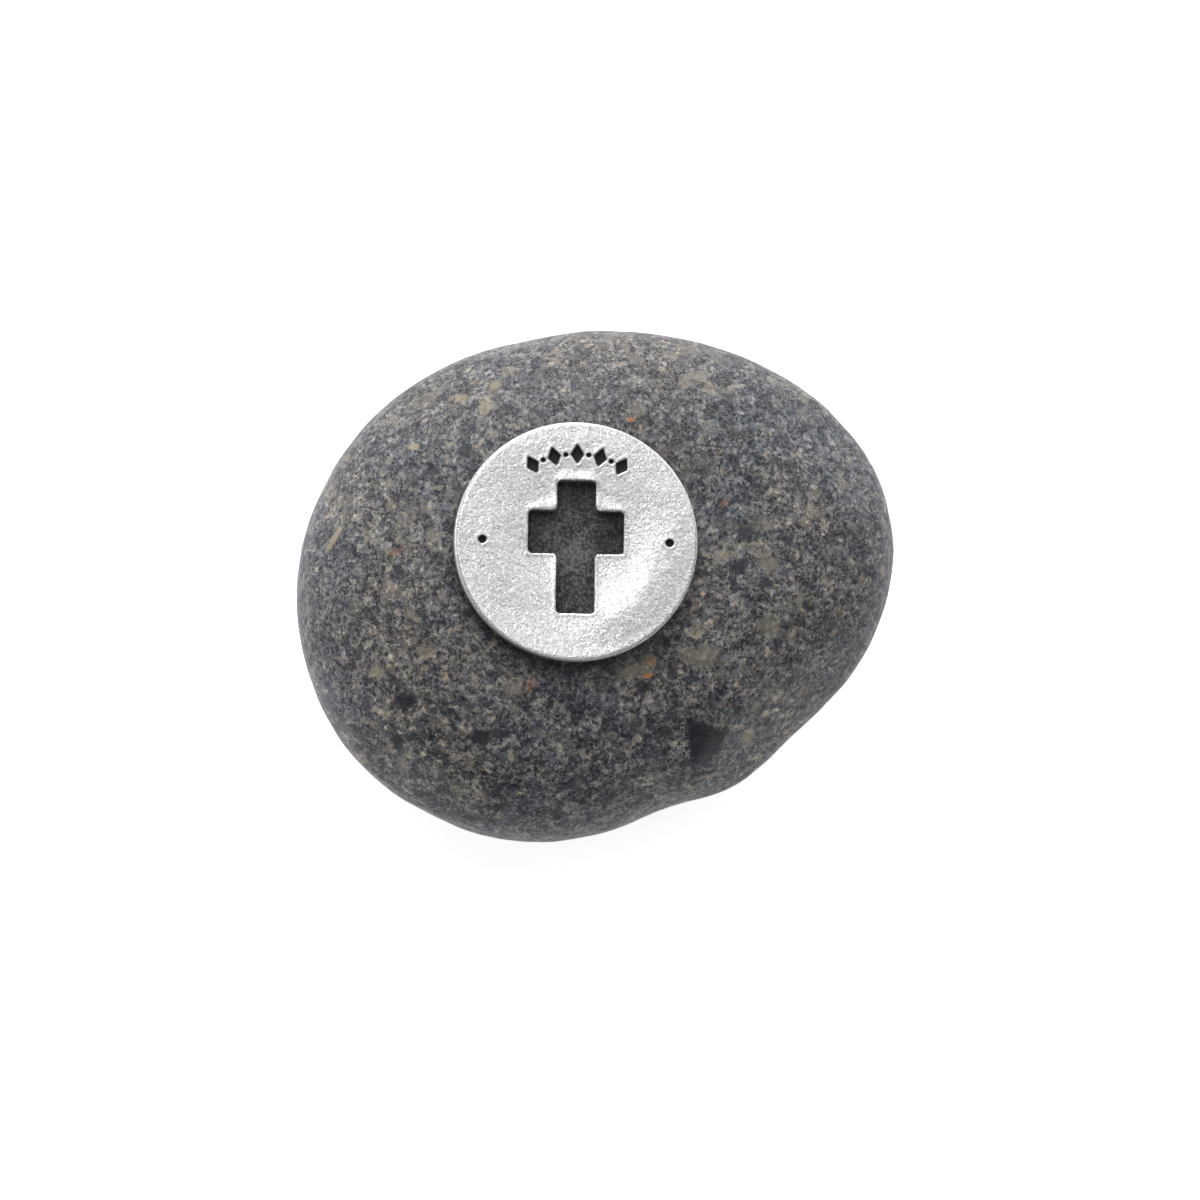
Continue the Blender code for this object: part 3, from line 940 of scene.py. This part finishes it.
@dataclass
class Token:
    """The cast pewter disc with its cross window and its blackened punch marks.

    Sizes are in millimetres, and places on it are counted from the middle of its back. The lip is
    the metal pushed up over the window's upper edges: it stands in from their ends, gains width
    by its share and tapers along the arms. Each swell of the skin has a width and a height. Each
    dent has a bearing in degrees anticlockwise from +X, a spread in degrees, a distance out, a width
    and a depth. All of these fade out over the skin's depth, and beads and burrs crest a little out
    from the window and the marks. The ink is the blackening: in a mark it deepens over its fade,
    and on the window's walls it starts below the face and deepens over a fade too. The painted shade
    that darkens the outer edge has a bearing and a spread in degrees, a depth below the face where it
    starts, and a strength. The casting came out a little oval, and is that much shorter along its cross.
    """

    radius: float = 12.7
    centre: tuple[float, float] = (-2.0, 4.5)
    oval: float = 0.984
    lean_right: float = 3.6
    lean_back: float = 5.6
    turn: float = -1.2
    rim_height: float = 1.95
    dish_depth: float = 0.42
    crest_radius: float = 11.75
    edge_round: float = 0.4
    sides: int = 256
    dish_rings: int = 12
    upright_half_width: float = 2.0
    arm_half_span: float = 4.98
    arm_top: float = 3.25
    arm_bottom: float = -1.3
    upright_top: float = 6.4
    upright_bottom: float = -7.65
    corner_round: float = 0.4
    punch_depth: float = 0.38
    punch_taper: float = 0.2
    side_dot_radius: float = 0.45
    side_dot_place: float = 9.75
    row_place: float = 9.25
    row_step: float = 15.0
    lozenges: int = 5
    lozenge_half_length: float = 1.12
    lozenge_half_width: float = 0.72
    row_dot_radius: float = 0.27
    voxel: float = 0.125
    settle_rounds: int = 2
    bead_height: float = 0.05
    bead_width: float = 0.24
    burr_height: float = 0.05
    burr_width: float = 0.18
    crest_out: float = 0.1
    lip_height: float = 0.18
    lip_width: float = 0.4
    lip_out: float = 0.34
    lip_inset: float = 0.55
    lip_below: float = 0.5
    lip_taper: float = 3.0
    lip_drop: float = 0.3
    upright_lip_gain: float = 0.2
    arm_lip_gain: float = 0.45
    skin_depth: float = 0.9
    ink_reach: float = 12.0
    ink_fade: float = 0.12
    wall_ink: float = 0.85
    wall_ink_start: float = 0.3
    wall_ink_fade: float = 0.25
    wall_width: float = 0.2
    # Painted shade on the token's outer edge: its band width and its fade below the face
    edge_shade_width: float = 0.45
    edge_shade_fade: float = 0.3
    swells: tuple[tuple[float, float], ...] = ((6.0, 0.09), (1.6, 0.02))
    # Painted shade on the outer edge, for each patch: bearing, spread, depth where it starts, strength
    edge_shade: tuple[tuple[float, float, float, float], ...] = (
        (245.0, 48.0, 0.1, 0.85),
        (132.0, 36.0, 0.0, 0.35),
    )
    dents: tuple[tuple[float, float, float, float, float], ...] = (
        (-45.0, 54.0, 3.4, 2.5, 0.15),
        (-40.0, 52.0, 8.65, 1.72, -0.225),
        (-104.0, 30.0, 8.2, 2.2, 0.16),
        (190.0, 30.0, 8.6, 2.2, -0.12),
        (205.0, 36.0, 3.4, 2.6, 0.24),
        (85.0, 56.0, 12.8, 1.35, 0.18),
        (250.0, 38.0, 12.9, 0.75, -0.13),
        (242.0, 34.0, 10.6, 1.2, 0.07),
        (-32.0, 46.0, 12.4, 1.3, 0.22),
    )

    def seat(self) -> Matrix:
        """Finds the middle of the token's back from the CAD node.

        Returns:
            The token's own frame in the object's frame, in millimetres.
        """
        lean = Euler((-math.radians(self.lean_back), math.radians(self.lean_right), 0.0))
        turned = lean.to_matrix().to_4x4() @ Matrix.Rotation(math.radians(self.turn), 4, "Z")
        axis = np.array(turned.col[2][:3])
        places = vertex_places(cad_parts["token"])
        level = float((places @ axis).min())
        height = (level - axis[0] * self.centre[0] - axis[1] * self.centre[1]) / axis[2]
        return Matrix.Translation((*self.centre, height)) @ turned

    def places_on(self, places: np.ndarray) -> np.ndarray:
        """Turns places in the object's frame into the token's own frame.

        Args:
            places: The places in millimetres.

        Returns:
            The same places, counted from the middle of the token's back.
        """
        seat = np.array(self.seat().inverted())
        return places @ seat[:3, :3].T + seat[:3, 3]

    def face_height(self, radius: np.ndarray | float) -> np.ndarray | float:
        """The height of the dished face at a distance from the middle.

        Args:
            radius: The distance, or an array of them.

        Returns:
            The height above the back.
        """
        return self.rim_height - self.dish_depth * (1 - (radius / self.crest_radius) ** 2)

    def marks(self) -> list[tuple[float, float, float, float, int]]:
        """Lists the punch marks.

        Returns:
            For each, its bearing in degrees clockwise from +Y, its distance out, its half width,
            its half length and its number of sides.
        """
        dot = (self.side_dot_radius, self.side_dot_radius, 24)
        found = [(bearing, self.side_dot_place, *dot) for bearing in (-90.0, 90.0)]
        first = -self.row_step * (self.lozenges - 1) / 2
        for number in range(self.lozenges):
            size = (self.lozenge_half_width, self.lozenge_half_length, 4)
            found.append((first + number * self.row_step, self.row_place, *size))
        for number in range(self.lozenges - 1):
            size = (self.row_dot_radius, self.row_dot_radius, 24)
            found.append((first + (number + 0.5) * self.row_step, self.row_place, *size))
        return found

    def build(self) -> bpy.types.Object:
        """Models and dresses the token.

        Returns:
            The finished piece.
        """
        disc = self._disc()
        for cutter in [self._window(), *self._punches()]:
            apply_modifier(disc, "BOOLEAN", operation="DIFFERENCE", solver="EXACT", object=cutter)
            bpy.data.objects.remove(cutter)
        apply_modifier(disc, "REMESH", mode="VOXEL", voxel_size=self.voxel * MM)
        apply_modifier(disc, "SMOOTH", factor=0.5, iterations=self.settle_rounds)
        self._sculpt(disc)
        disc.data.transform(self.seat_in_metres() @ Matrix.Diagonal((1.0, self.oval, 1.0, 1.0)))
        dress(disc, CastPewter().material(), "token")
        return disc

    def seat_in_metres(self) -> Matrix:
        """Turns the token's own frame to metres, for a mesh.

        Returns:
            That frame in the object's frame, in metres.
        """
        seat = self.seat()
        seat.translation *= MM
        return seat

    def _disc(self) -> bpy.types.Object:
        """Models the plain dished disc, with its rim rounded.

        Returns:
            The disc, in its own frame.
        """
        bpy.ops.object.select_all(action="DESELECT")
        bpy.ops.mesh.primitive_cylinder_add(
            vertices=self.sides,
            radius=self.radius * MM,
            depth=self.rim_height * MM,
            location=(0, 0, self.rim_height / 2 * MM),
        )
        disc = bpy.context.object
        disc.name = "cast_token"
        bpy.ops.object.transform_apply(location=True, rotation=False, scale=False)
        bpy.ops.object.mode_set(mode="EDIT")
        bpy.ops.mesh.select_mode(type="EDGE")
        shape = bmesh.from_edit_mesh(disc.data)
        top = self.rim_height * MM * 0.99
        for edge in shape.edges:
            on_top = all(vert.co.z > top for vert in edge.verts)
            edge.select_set(on_top and len({face.normal.z > 0.5 for face in edge.link_faces}) > 1)
        shape.select_flush_mode()
        bmesh.update_edit_mesh(disc.data)
        bpy.ops.mesh.bevel(offset=self.edge_round * MM, segments=8, affect="EDGES")
        self._dish(disc)
        bpy.ops.object.mode_set(mode="OBJECT")
        return disc

    def _dish(self, disc: bpy.types.Object) -> None:
        """Insets the disc's face ring by ring, each ring a little lower than the last.

        Args:
            disc: The disc, in edit mode.
        """
        bpy.ops.mesh.select_mode(type="FACE")
        shape = bmesh.from_edit_mesh(disc.data)
        for face in shape.faces:
            face.select_set(face.normal.z > 0.999)
        bmesh.update_edit_mesh(disc.data)
        outer = self.radius - self.edge_round
        step = outer / self.dish_rings
        for ring in range(self.dish_rings - 1):
            radius = outer - ring * step
            fall = self.face_height(radius) - self.face_height(radius - step)
            bpy.ops.mesh.inset(thickness=step * MM, depth=-fall * MM)

    def _window(self) -> bpy.types.Object:
        """Models the cutter of the cross window: a block with its four sides pulled out.

        Returns:
            The cutter.
        """
        bpy.ops.object.select_all(action="DESELECT")
        middle = (self.arm_top + self.arm_bottom) / 2
        bpy.ops.mesh.primitive_cube_add(size=1.0, location=(0, middle * MM, 0))
        block = bpy.context.object
        tall = self.arm_top - self.arm_bottom
        block.scale = (2 * self.upright_half_width * MM, tall * MM, 8 * MM)
        bpy.ops.object.transform_apply(location=True, rotation=False, scale=True)
        bpy.ops.object.mode_set(mode="EDIT")
        bpy.ops.mesh.select_mode(type="FACE")
        reach = self.arm_half_span - self.upright_half_width
        for way, length in (
            (Vector((1, 0, 0)), reach),
            (Vector((-1, 0, 0)), reach),
            (Vector((0, 1, 0)), self.upright_top - self.arm_top),
            (Vector((0, -1, 0)), self.arm_bottom - self.upright_bottom),
        ):
            shape = bmesh.from_edit_mesh(block.data)
            for face in shape.faces:
                off_axis = abs(face.calc_center_median().cross(way).z)
                face.select_set(face.normal.dot(way) > 0.9 and off_axis < middle * MM * 1.01)
            bmesh.update_edit_mesh(block.data)
            bpy.ops.mesh.extrude_region_move(TRANSFORM_OT_translate={"value": way * length * MM})
        bpy.ops.mesh.select_mode(type="EDGE")
        shape = bmesh.from_edit_mesh(block.data)
        for edge in shape.edges:
            along = (edge.verts[1].co - edge.verts[0].co).normalized()
            edge.select_set(abs(along.z) > 0.9)
        shape.select_flush_mode()
        bmesh.update_edit_mesh(block.data)
        bpy.ops.mesh.bevel(offset=self.corner_round * MM, segments=5, affect="EDGES")
        bpy.ops.object.mode_set(mode="OBJECT")
        return block

    def _punches(self) -> list[bpy.types.Object]:
        """Models the cutter of each punch mark, a tapered peg.

        Returns:
            The cutters.
        """
        pegs = []
        for bearing, place, half_width, half_length, sides in self.marks():
            bpy.ops.object.select_all(action="DESELECT")
            bpy.ops.mesh.primitive_cone_add(
                vertices=sides,
                radius1=1 - self.punch_taper,
                radius2=1 + self.punch_taper,
                depth=2 * self.punch_depth,
            )
            peg = bpy.context.object
            stretch = Matrix.Diagonal((half_width, half_length, 1.0, 1.0))
            out = Matrix.Translation((0, place, float(self.face_height(place))))
            swing = Matrix.Rotation(-math.radians(bearing), 4, "Z")
            peg.data.transform(Matrix.Scale(MM, 4) @ swing @ out @ stretch)
            pegs.append(peg)
        return pegs

    def _window_distance(self, places: np.ndarray) -> np.ndarray:
        """How far each place is outside the cross window, in the plane of the token.

        Args:
            places: Vertex places in the token's own frame.

        Returns:
            Distances in millimetres, below 0 inside the window.
        """
        found = []
        for half_width, bottom, top in (
            (self.arm_half_span, self.arm_bottom, self.arm_top),
            (self.upright_half_width, self.upright_bottom, self.upright_top),
        ):
            out_x = np.abs(places[:, 0]) - half_width
            out_y = np.abs(places[:, 1] - (top + bottom) / 2) - (top - bottom) / 2
            outside = np.hypot(np.maximum(out_x, 0), np.maximum(out_y, 0))
            found.append(outside + np.minimum(np.maximum(out_x, out_y), 0))
        return np.minimum(*found)

    def _lip_distance(self, places: np.ndarray) -> np.ndarray:
        """How far each place is above the nearest upper edge of the cross window.

        Args:
            places: Vertex places in the token's own frame.

        Returns:
            Distances in millimetres from the upright's top edge or an arm's.
        """
        nearest = np.full(len(places), FAR)
        out = np.abs(places[:, 0])
        inner = np.clip((self.arm_half_span - out) / self.lip_taper, 0, 1)
        for end, level, gain in (
            (self.upright_half_width, self.upright_top, self.upright_lip_gain),
            (self.arm_half_span, self.arm_top, self.arm_lip_gain * inner),
        ):
            beside = np.maximum(out - end + self.lip_inset, 0)
            above = np.maximum(places[:, 1] - level, 0) * (1 - gain)
            above += FAR * (places[:, 1] < level - self.lip_below)
            drop = self.lip_drop * (self.arm_lip_gain - gain)
            nearest = np.minimum(nearest, np.hypot(beside, above) + drop)
        return nearest

    def under_distance(self, places: np.ndarray) -> np.ndarray:
        """How far each place is below the nearest upper edge of the cross window.

        Args:
            places: Places in the token's own frame.

        Returns:
            Distances in millimetres, large outside the window.
        """
        upright = np.abs(places[:, 0]) < self.upright_half_width
        level = np.where(upright, self.upright_top, self.arm_top)
        inside = self._window_distance(places) < 0.3
        return np.where(inside, np.maximum(level - places[:, 1], 0), FAR)

    def _mark_distance(self, places: np.ndarray) -> np.ndarray:
        """How far each place is outside the nearest punch mark, in the plane of the token.

        Args:
            places: Vertex places in the token's own frame.

        Returns:
            Distances in millimetres, below 0 inside a mark.
        """
        nearest = np.full(len(places), FAR)
        for bearing, place, half_width, half_length, sides in self.marks():
            angle = math.radians(bearing)
            x = places[:, 0] * math.cos(angle) - places[:, 1] * math.sin(angle)
            y = places[:, 0] * math.sin(angle) + places[:, 1] * math.cos(angle) - place
            if sides == 4:
                x, y = np.abs(x), np.abs(y)
                slope = half_width**2 + half_length**2
                along = np.clip((half_width * (half_width - x) + half_length * y) / slope, 0, 1)
                distance = np.hypot(x - half_width * (1 - along), y - half_length * along)
                beyond = x * half_length + y * half_width > half_width * half_length
                distance = np.where(beyond, distance, -distance)
            else:
                distance = np.hypot(x, y) - half_width
            nearest = np.minimum(nearest, distance)
        return nearest

    def _sculpt(self, disc: bpy.types.Object) -> None:
        """Gives the casting its soft beads, its swells, its blackening and the painted shade on its outer
        edge.

        Args:
            disc: The disc, still in its own frame.
        """
        places = vertex_places(disc)
        radius = np.hypot(places[:, 0], places[:, 1])
        depth = self.face_height(radius) - places[:, 2]
        near_face = np.clip(1 - np.maximum(depth, 0) / self.skin_depth, 0, 1) ** 2
        window = np.maximum(self._window_distance(places), 0)
        mark = self._mark_distance(places)
        bead = self.bead_height * fall_off(window - self.crest_out, self.bead_width)
        lip = self._lip_distance(places) - self.lip_out
        bead += self.lip_height * fall_off(lip, self.lip_width)
        burr = self.burr_height * fall_off(np.maximum(mark, 0) - self.crest_out, self.burr_width)
        swell = np.zeros(len(places))
        for width, height in self.swells:
            swell += [noise.noise(Vector(place) / width) * height for place in places]
        for middle, spread, out, width, deep in self.dents:
            bearing = off_bearing(places, middle)
            swell -= deep * fall_off(bearing, spread) * fall_off(radius - out, width)
        places[:, 2] += near_face * (bead + burr * (mark > -0.05) + swell)
        move_vertices(disc, places)
        inside = np.clip(-mark / 0.1 + 0.6, 0, 1) * np.clip(depth / self.ink_fade, 0, 1)
        inside *= (radius < self.ink_reach) * (depth < 1.0)
        walls = np.clip((depth - self.wall_ink_start) / self.wall_ink_fade, 0, 1)
        walls *= self.wall_ink * (window < self.wall_width)
        # Painted shade: darkens the outer edge as if shade fell on it
        for middle, spread, start, strength in self.edge_shade:
            edge = strength * fall_off(off_bearing(places, middle), spread)
            edge *= np.clip((depth - start) / self.edge_shade_fade, 0, 1)
            walls += edge * (radius > self.radius - self.edge_shade_width)
        # One attribute carries the black patina and the painted edge shade
        add_attribute(disc, "blackening_and_edge_shade", np.maximum(inside, walls))


@dataclass
class AdhesiveBed:
    """The cured adhesive between the stone and the token.

    Args:
        voxel_mm: Size of the cells that its skin is modelled in.
        settle_rounds: Rounds of smoothing that take out the CAD solid's facets.
        lump_mm: Width of the swells in its skin.
        lump_height_mm: Height of those swells.
        smear_px: Where the paler smear lies, as a pixel of the photograph.
        smear_mm: Half width of that smear.
        trough_depth_mm: How far the skin sinks under the window's upper edges.
        trough_mm: Width of the sunk part.
    """

    voxel_mm: float = 0.25
    settle_rounds: int = 4
    lump_mm: float = 1.4
    lump_height_mm: float = 0.16
    smear_px: tuple[float, float] = (577.0, 556.0)
    smear_mm: float = 1.7
    trough_depth_mm: float = 0.45
    trough_mm: float = 0.9

    def build(self, token: "Token") -> bpy.types.Object:
        """Models and dresses the adhesive.

        Args:
            token: The token, whose window shows it.

        Returns:
            The finished piece.
        """
        bed = copy_of_node("adhesive_bed", "cured_adhesive")
        apply_modifier(bed, "REMESH", mode="VOXEL", voxel_size=self.voxel_mm * MM)
        apply_modifier(bed, "SMOOTH", factor=0.5, iterations=self.settle_rounds)
        texture = bpy.data.textures.new("adhesive swells", "CLOUDS")
        texture.noise_scale = self.lump_mm * MM
        apply_modifier(bed, "DISPLACE", texture=texture, strength=self.lump_height_mm * MM, mid_level=0.5)
        self._settle(bed, token)
        dress(bed, CuredEpoxy().material(), "adhesive_bed")
        return bed

    def _settle(self, bed: bpy.types.Object, token: Token) -> None:
        """Sinks the adhesive under the window's upper edges, paints shade there as darker colour, and
        marks the paler smear.

        Args:
            bed: The adhesive's object.
            token: The token, whose window shows it.
        """
        places = vertex_places(bed)
        local = token.places_on(places)
        near = fall_off(token.under_distance(local), self.trough_mm) * (local[:, 2] > 0)
        places[:, 2] -= self.trough_depth_mm * near
        move_vertices(bed, places)
        # Painted shade under the window's upper edges
        add_attribute(bed, "shade", near)
        smear = photo_to_mm(*self.smear_px)
        off = np.hypot(places[:, 0] - smear.x, places[:, 1] - smear.y)
        add_attribute(bed, "smear", fall_off(off, self.smear_mm))


@dataclass
class Studio:
    """The pale floor, the soft light and the camera straight above.

    Sizes are in millimetres.
    """

    floor_side: float = 3000.0
    waist_height: float = 14.4
    camera_distance: float = 560.0
    sensor_width: float = 36.0
    air_light: float = 0.25

    def build(self) -> None:
        """Sets up the floor, the lights and the camera."""
        self._floor()
        self._lights()
        self._camera()

    def _floor(self) -> None:
        """Lays the floor just under the stone."""
        bpy.ops.object.select_all(action="DESELECT")
        bpy.ops.mesh.primitive_plane_add(
            size=self.floor_side * MM, location=(0, 0, CAD_BOX[0][2] - 0.15 * MM)
        )
        floor = bpy.context.object
        floor.name = "sweep"
        floor.data.materials.append(PaleFloor().material())

    def _lights(self) -> None:
        """Hangs the softboxes, and fills the room with an even dim light."""
        boxes = (
            ("key softbox", (-220.0, 1150.0, 480.0), 800.0, 16.0),
            ("back softbox", (-138.0, 410.0, 885.0), 340.0, 1.4),
            ("right softbox", (440.0, 290.0, 860.0), 300.0, 0.6),
            ("front softbox", (-90.0, -290.0, 930.0), 280.0, 0.65),
            ("top diffuser", (55.0, 165.0, 985.0), 400.0, 0.12),
            ("left wall", (-1080.0, 250.0, 340.0), 800.0, 2.8),
            ("front wall", (-350.0, -950.0, 560.0), 800.0, 0.3),
            ("right wall", (780.0, 780.0, 340.0), 800.0, 3.2),
        )
        for name, place, side, power in boxes:
            lamp = bpy.data.lights.new(name, "AREA")
            lamp.shape = "SQUARE"
            lamp.size = side * MM
            lamp.energy = power
            stand = bpy.data.objects.new(name, lamp)
            stand.location = Vector(place) * MM
            stand.rotation_euler = (-Vector(place)).to_track_quat("-Z", "Y").to_euler()
            bpy.context.scene.collection.objects.link(stand)
        world = bpy.data.worlds.new("studio air")
        world.use_nodes = True
        air = {"Color": linear("#ffffff"), "Strength": self.air_light}
        set_inputs(world.node_tree.nodes["Background"], air)
        bpy.context.scene.world = world
        bpy.context.scene.view_settings.view_transform = "Standard"

    def _camera(self) -> None:
        """Hangs the camera straight above, framed as the photograph is."""
        lens = bpy.data.cameras.new("camera")
        lens.sensor_width = self.sensor_width
        lens.lens = self.sensor_width * self.camera_distance / PHOTO_SIDE_MM
        lens.clip_start = 0.01
        camera = bpy.data.objects.new("camera", lens)
        height = self.waist_height + self.camera_distance
        camera.location = Vector((*PHOTO_CENTRE_MM, height)) * MM
        bpy.context.scene.collection.objects.link(camera)
        bpy.context.scene.camera = camera


def main() -> None:
    """Builds every piece in order."""
    logging.basicConfig(level=logging.INFO, format="%(name)s %(message)s")
    token = Token()
    token.build()
    Pebble().build(token)
    AdhesiveBed().build(token)
    Studio().build()


if __name__ == "__main__":
    main()
